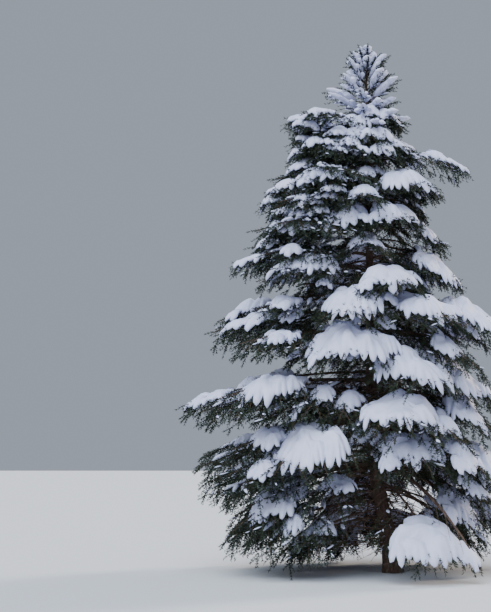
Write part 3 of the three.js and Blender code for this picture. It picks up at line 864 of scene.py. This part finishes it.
def tip_of_crown(rng, grown):
    """The rising branchlets of the last years round the leader, laden with snow."""
    count = BRANCHLETS
    share = np.linspace(0, 1, count)
    foot = mix(TIP_FOOT, HIGHEST_FOOT, share**0.9)
    reach = mix(*BRANCHLET_REACH, share) * rng.uniform(0.7, 1.08, count)
    rise = reach * mix(*BRANCHLET_RISE, share**0.8) * rng.uniform(0.8, 1.2, count)
    rise = np.minimum(rise, HIGHEST_END - foot)
    out, _ = compass(GOLDEN_ANGLE * np.arange(count) + rng.uniform(-0.4, 0.4, count))
    t = np.linspace(0, 1, 7)[:, None]
    paths = trunk_axis(foot)[:, None] + out[:, None] * reach[:, None, None] * t
    paths = paths + UP * rise[:, None, None] * t**1.2
    grown.twigs.add(*tubes(paths, np.linspace(0.008, 0.003, 7)))
    laden, _ = along_paths(paths, np.linspace(0.25, 1.0, 6))
    strips(grown.snow, laden, rng.uniform(*BRANCHLET_SNOW, count), rng)
    root, heading = along_paths(paths, np.linspace(0.1, 0.9, 7))
    grown.shoots.add(root - 0.03 * UP, heading - 0.45 * UP, 0.12, 0)
    for sign in (-1, 1):
        for place in (0.35, 0.65):
            at, heading = along_paths(paths, place + 0.08 * sign)
            across = np.cross(heading, UP) * rng.uniform(0.6, 1.0, (count, 1, 1))
            lean = unit(heading + sign * across - 0.1 * UP)
            length = np.maximum(reach * (0.5 - 0.35 * place), 0.08)[:, None, None]
            side = at + lean * length * np.linspace(0, 1, 5)[:, None]
            grown.twigs.add(*tubes(side, np.linspace(0.004, 0.002, 5)))
            grown.shoots.add(at - 0.03 * UP, lean - 0.35 * UP, length + 0.03, 0)
            held = rng.random(count) < 0.8
            strips(grown.snow, side[held], rng.uniform(*SIDE_SNOW, held.sum()), rng)
    height = np.linspace(6.3, 7.42, LEADER_SHOOTS)
    _, side = compass(GOLDEN_ANGLE * np.arange(LEADER_SHOOTS))
    grown.shoots.add(trunk_axis(height), side + 1.2 * UP, np.minimum(0.13, 7.52 - height), 0)


DEAD_TWIGS = 260
DEAD_FEET = (0.35, 6.0)
DEAD_REACH = (0.4, 1.35)
FORK_LENGTH = (0.15, 0.4)


def dead_twigs(rng, grown):
    """The thin dead twigs that stand out from the trunk, most of them low down, with specks of snow."""
    count = DEAD_TWIGS
    foot = mix(*DEAD_FEET, rng.random(count) ** 1.7)
    out, side = compass(rng.uniform(0, 2 * np.pi, count))
    out, side = out[:, None], side[:, None]
    reach = (rng.uniform(*DEAD_REACH, count) * (1 - foot / TREE_HEIGHT))[:, None, None]
    t = np.linspace(0, 1, 7)[:, None]
    bend, sag = rng.uniform(-0.25, 0.25, (count, 1, 1)), rng.uniform(0.0, 0.4, (count, 1, 1))
    start = trunk_axis(foot)[:, None]
    paths = above_ground(start + reach * (out * t + side * bend * t**2 + UP * (0.12 * t - sag * t**2)))
    grown.twigs.add(*tubes(paths, np.linspace(0.0075, 0.002, 7)))
    for place in (0.35, 0.55, 0.75):
        at, heading = along_paths(paths, np.clip(place + rng.uniform(-0.1, 0.1, (count, 1)), 0, 1))
        across = np.cross(heading, UP) * rng.choice((-1, 1), (count, 1, 1))
        lean = unit(heading + across * 0.9 + rng.uniform(-0.5, 0.3, (count, 1, 1)) * UP)
        length = rng.uniform(*FORK_LENGTH, (count, 1, 1))
        fork = above_ground(at + lean * length * np.linspace(0, 1, 4)[:, None])
        grown.twigs.add(*tubes(fork, np.linspace(0.0035, 0.0015, 4)))
    at, lay = along_paths(paths, rng.uniform(0.3, 0.98, (count, 5)))
    lay_lumps(at.reshape(-1, 3), lay.reshape(-1, 3), 0.4, rng, grown.bits)


# Materials

class Finish:
    """A material with one shader, and the patterns that feed it."""

    def __init__(self, name, roughness):
        self.material = bpy.data.materials.new(name)
        self.material.use_nodes = True
        self.nodes = self.material.node_tree.nodes
        self.link = self.material.node_tree.links.new
        self.inputs = self.nodes["Principled BSDF"].inputs
        self.inputs["Roughness"].default_value = roughness

    def noise(self, scale, detail, roughness=0.5, stretch=None):
        texture = self.nodes.new("ShaderNodeTexNoise")
        for name, value in (("Scale", scale), ("Detail", detail), ("Roughness", roughness)):
            texture.inputs[name].default_value = value
        place = self.nodes.new("ShaderNodeTexCoord").outputs["Object"]
        if stretch:
            mapping = self.nodes.new("ShaderNodeMapping")
            mapping.inputs["Scale"].default_value = stretch
            self.link(place, mapping.inputs["Vector"])
            place = mapping.outputs["Vector"]
        self.link(place, texture.inputs["Vector"])
        return texture.outputs["Fac"]

    def colour(self, source, *stops):
        """Base colours that follow a pattern. A stop gives the pattern's level and its colour."""
        node = self.nodes.new("ShaderNodeValToRGB")
        elements = node.color_ramp.elements
        elements[0].position, elements[0].color = stops[0][0], (*stops[0][1], 1)
        elements[1].position, elements[1].color = stops[-1][0], (*stops[-1][1], 1)
        for position, colour in stops[1:-1]:
            elements.new(position).color = (*colour, 1)
        self.link(source, node.inputs["Fac"])
        self.link(node.outputs["Color"], self.inputs["Base Color"])

    def bump(self, height, distance, strength, after=None):
        node = self.nodes.new("ShaderNodeBump")
        node.inputs["Distance"].default_value = distance
        node.inputs["Strength"].default_value = strength
        self.link(height, node.inputs["Height"])
        if after:
            self.link(after, node.inputs["Normal"])
        self.link(node.outputs["Normal"], self.inputs["Normal"])
        return node.outputs["Normal"]


def snow_material():
    finish = Finish("snow", 0.62)
    # Both base colours are darker and bluer than white snow: painted blue shade, as of snow lying in
    # shadow under a blue sky. The noise between the two stops varies the tone at random.
    finish.colour(finish.noise(5.0, 3.0), (0.3, (0.635, 0.66, 0.88)), (0.7, (0.725, 0.74, 0.93)))
    lumpy = finish.bump(finish.noise(14.0, 3.0), 0.02, 0.35)
    finish.bump(finish.noise(160.0, 2.0), 0.002, 0.4, after=lumpy)
    return finish.material


def needle_material(name, dark, light):
    finish = Finish(name, 0.6)
    finish.inputs["Specular IOR Level"].default_value = 0.25
    finish.colour(finish.noise(9.0, 3.0), (0.35, dark), (0.65, light))
    return finish.material


def bark_material(name, deep, middle, high):
    finish = Finish(name, 0.88)
    scales = finish.noise(30.0, 6.0, 0.65, stretch=(1, 1, 0.45))
    # The colour follows the same pattern as the bump. The bark's tone changes from scale to scale, and
    # the low parts, the cracks, get the darkest colour: partly the bark's own dark fissures and partly
    # painted shade in the cracks.
    finish.colour(scales, (0.32, deep), (0.52, middle), (0.7, high))
    rough = finish.bump(scales, 0.006, 0.8)
    finish.bump(finish.noise(140.0, 4.0), 0.0015, 0.5, after=rough)
    return finish.material


# Assembly

def nodes_of(tier, kind):
    return [f"{kind}_{tier}_{i + 1}" for i in range(len(TIERS[tier].limbs))]


def stand(piece, slot, *nodes):
    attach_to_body(piece, "root")
    if nodes:
        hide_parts(*nodes)


class Growth:
    """What the boughs of one tier, or the crown's tip, put into their joined pieces."""

    def __init__(self):
        self.wood, self.twigs, self.snow, self.bits = Soup(), Soup(), Soup(), Soup()
        self.shoots = Shoots()

    def place(self, name, rng, needle_nodes, snow_nodes, bough_nodes=()):
        """Builds and places the pieces. They replace the nodes that are given for each kind."""
        needles = Soup()
        clothe(needles, self.shoots, rng)
        stand(needles.build(f"needles_{name}", NEEDLE_TONES), "needles", *needle_nodes)
        stand(self.snow.build(f"snow_{name}", [SNOW], soft=True), "snow", *snow_nodes)
        stand(self.twigs.build(f"twigs_{name}", [TWIG_BARK]), "bark")
        if self.bits.count:
            stand(self.bits.build(f"snow_bits_{name}", [SNOW], soft=True), "snow")
        if self.wood.count:
            stand(self.wood.build(f"boughs_{name}", [BARK], soft=True), "bark", *bough_nodes)


def boughs_of(tier, limb, reach, rng):
    """The boughs of a limb: those with a cushion, the dusted and the bare. A dark inner one grows
    under each bough with a large cushion, but not where OPEN_BELOW says so. Gives each bough's look,
    its place and fan width, and its cushion."""
    for turn, lower, share, *cushion in CUSHIONS.get((tier, limb), COMMON_CUSHIONS):
        look = "small" if cushion[2] < SMALL_CUSHION else "laden"
        width = cushion[2] + FAN_MARGIN[0] + FAN_MARGIN[1] * reach
        yield look, (turn, lower, share, width), cushion
        if look == "laden" and (tier, limb) not in OPEN_BELOW:
            under = lower + rng.uniform(*INNER_LOWER)
            turned = turn + rng.uniform(-INNER_TURN, INNER_TURN)
            yield "inner", (turned, under, share * rng.uniform(*INNER_SHARE), INNER_WIDTH), None
    for place in DUSTED.get((tier, limb), []):
        yield "dusted", (*place, DUSTED_WIDTH * reach), None
    for place in BARE.get((tier, limb), []):
        yield "bare", (*place, BARE_WIDTH), None


def tip_rise(tier, limb, sizes, cushion):
    """How much higher the tip of a bough is than the tier's own: the boughs on the left side are
    more level, and those of the top tier hang, unless their cushion is near the tip."""
    if (tier, limb) in LEFT_SIDE:
        return LEVEL * (sizes.crest - sizes.tip)
    if tier == "top" and cushion and cushion[0] < NEAR_TIP:
        return -TOP_DROOP
    return 0.0


def grow(bough, look, large, tier, rng, grown):
    """One bough with all that grows and lies on it."""
    s = np.linspace(0, 0.97, WOOD_RINGS) * bough.length
    radius = bough.radius_at(s / bough.length)
    path = above_ground(bough.place(s, 0, -radius))[None]
    rough = radius[None, :, None] * rng.uniform(0.93, 1.07, (1, WOOD_RINGS, WOOD_SIDES))
    grown.wood.add(*tubes(path, rough, sides=WOOD_SIDES))
    if look == "bare":
        lateral_twigs(bough, rng, BARE_TWIGS, grown.twigs)
        return
    for middle, half in cushions_of(bough, large, rng):
        cushion = Cushion(bough, middle, half, rng)
        grown.snow.add(*cushion.mesh())
        for root, heading, length in cushion.rim_shoots(rng):
            grown.shoots.add(root, heading, length, rng.choice(4, len(root), p=RIM_TONES))
    dress(bough, tier, LOOKS[look], rng, grown)


# The snow's base colour holds painted blue shade.
SNOW = snow_material()
NEEDLE_TONES = [
    needle_material("needles_deep", (0.009, 0.014, 0.008), (0.018, 0.027, 0.014)),
    needle_material("needles_green", (0.016, 0.025, 0.014), (0.031, 0.041, 0.022)),
    needle_material("needles_frosted", (0.056, 0.078, 0.068), (0.105, 0.130, 0.115)),
    needle_material("needles_old", (0.028, 0.025, 0.012), (0.052, 0.043, 0.020)),
]
BARK = bark_material("bark", (0.030, 0.018, 0.013), (0.090, 0.052, 0.037), (0.17, 0.115, 0.085))
TWIG_BARK = bark_material("twig_bark", (0.060, 0.036, 0.022), (0.12, 0.075, 0.048), (0.20, 0.14, 0.10))

trunk = Soup()
trunk_mesh(trunk, np.random.default_rng(SEED))
stand(trunk.build("trunk_bark", [BARK], soft=True), "bark", "trunk")

for number, (tier, sizes) in enumerate(TIERS.items()):
    grown = Growth()
    for i, (bearing, reach) in enumerate(sizes.limbs):
        rng = np.random.default_rng([SEED, number, i])
        for look, place, large in boughs_of(tier, i + 1, reach, rng):
            bough = Bough(sizes, bearing, reach, *place, tip_rise(tier, i + 1, sizes, large))
            grow(bough, look, large, tier, rng, grown)
    limbs = []
    if tier == "skirt":
        dead_twigs(rng, grown)
        limbs = nodes_of(tier, "bough")
    needle_rng = np.random.default_rng([SEED, number, 99])
    grown.place(tier, needle_rng, nodes_of(tier, "needles"), nodes_of(tier, "snow"), limbs)

tip, tip_rng = Growth(), np.random.default_rng([SEED, 99])
tip_of_crown(tip_rng, tip)
tip.place("tip", tip_rng, ["needles_tip"], ["snow_tip"])


# Stage, light and camera

def stage_floor():
    finish = Finish("floor", 0.9)
    finish.inputs["Base Color"].default_value = (0.66, 0.67, 0.70, 1)
    bpy.ops.mesh.primitive_plane_add(size=300, location=(0, 0, -0.002))
    floor = bpy.context.object
    floor.name = "floor"
    floor.data.materials.append(finish.material)


def sun(name, direction, strength, softness, colour):
    data = bpy.data.lights.new(name, "SUN")
    data.energy, data.angle, data.color = strength, math.radians(softness), colour
    light = bpy.data.objects.new(name, data)
    light.rotation_euler = Vector(direction).to_track_quat("-Z", "Y").to_euler()
    bpy.context.scene.collection.objects.link(light)


stage_floor()
sun("sky_light", (0.35, 0.55, -1.0), 4.2, 60, (0.82, 0.91, 1.0))
sun("back_light", (-0.9, -0.55, -0.55), 2.6, 12, (1.0, 0.86, 0.70))
world = bpy.data.worlds.new("studio")
world.use_nodes = True
background = world.node_tree.nodes["Background"].inputs
background["Color"].default_value = (0.50, 0.56, 0.66, 1)
background["Strength"].default_value = 0.66
bpy.context.scene.world = world

CAMERA_PLACE = (-2.0, -14.7, 1.5)
CAMERA_PITCH = 8.39
lens = bpy.data.cameras.new("camera")
lens.lens = 61.8
lens.sensor_width = 36
lens.clip_end = 200
camera = bpy.data.objects.new("camera", lens)
camera.location = CAMERA_PLACE
camera.rotation_euler = (math.radians(90 + CAMERA_PITCH), 0, 0)
bpy.context.scene.collection.objects.link(camera)
bpy.context.scene.camera = camera
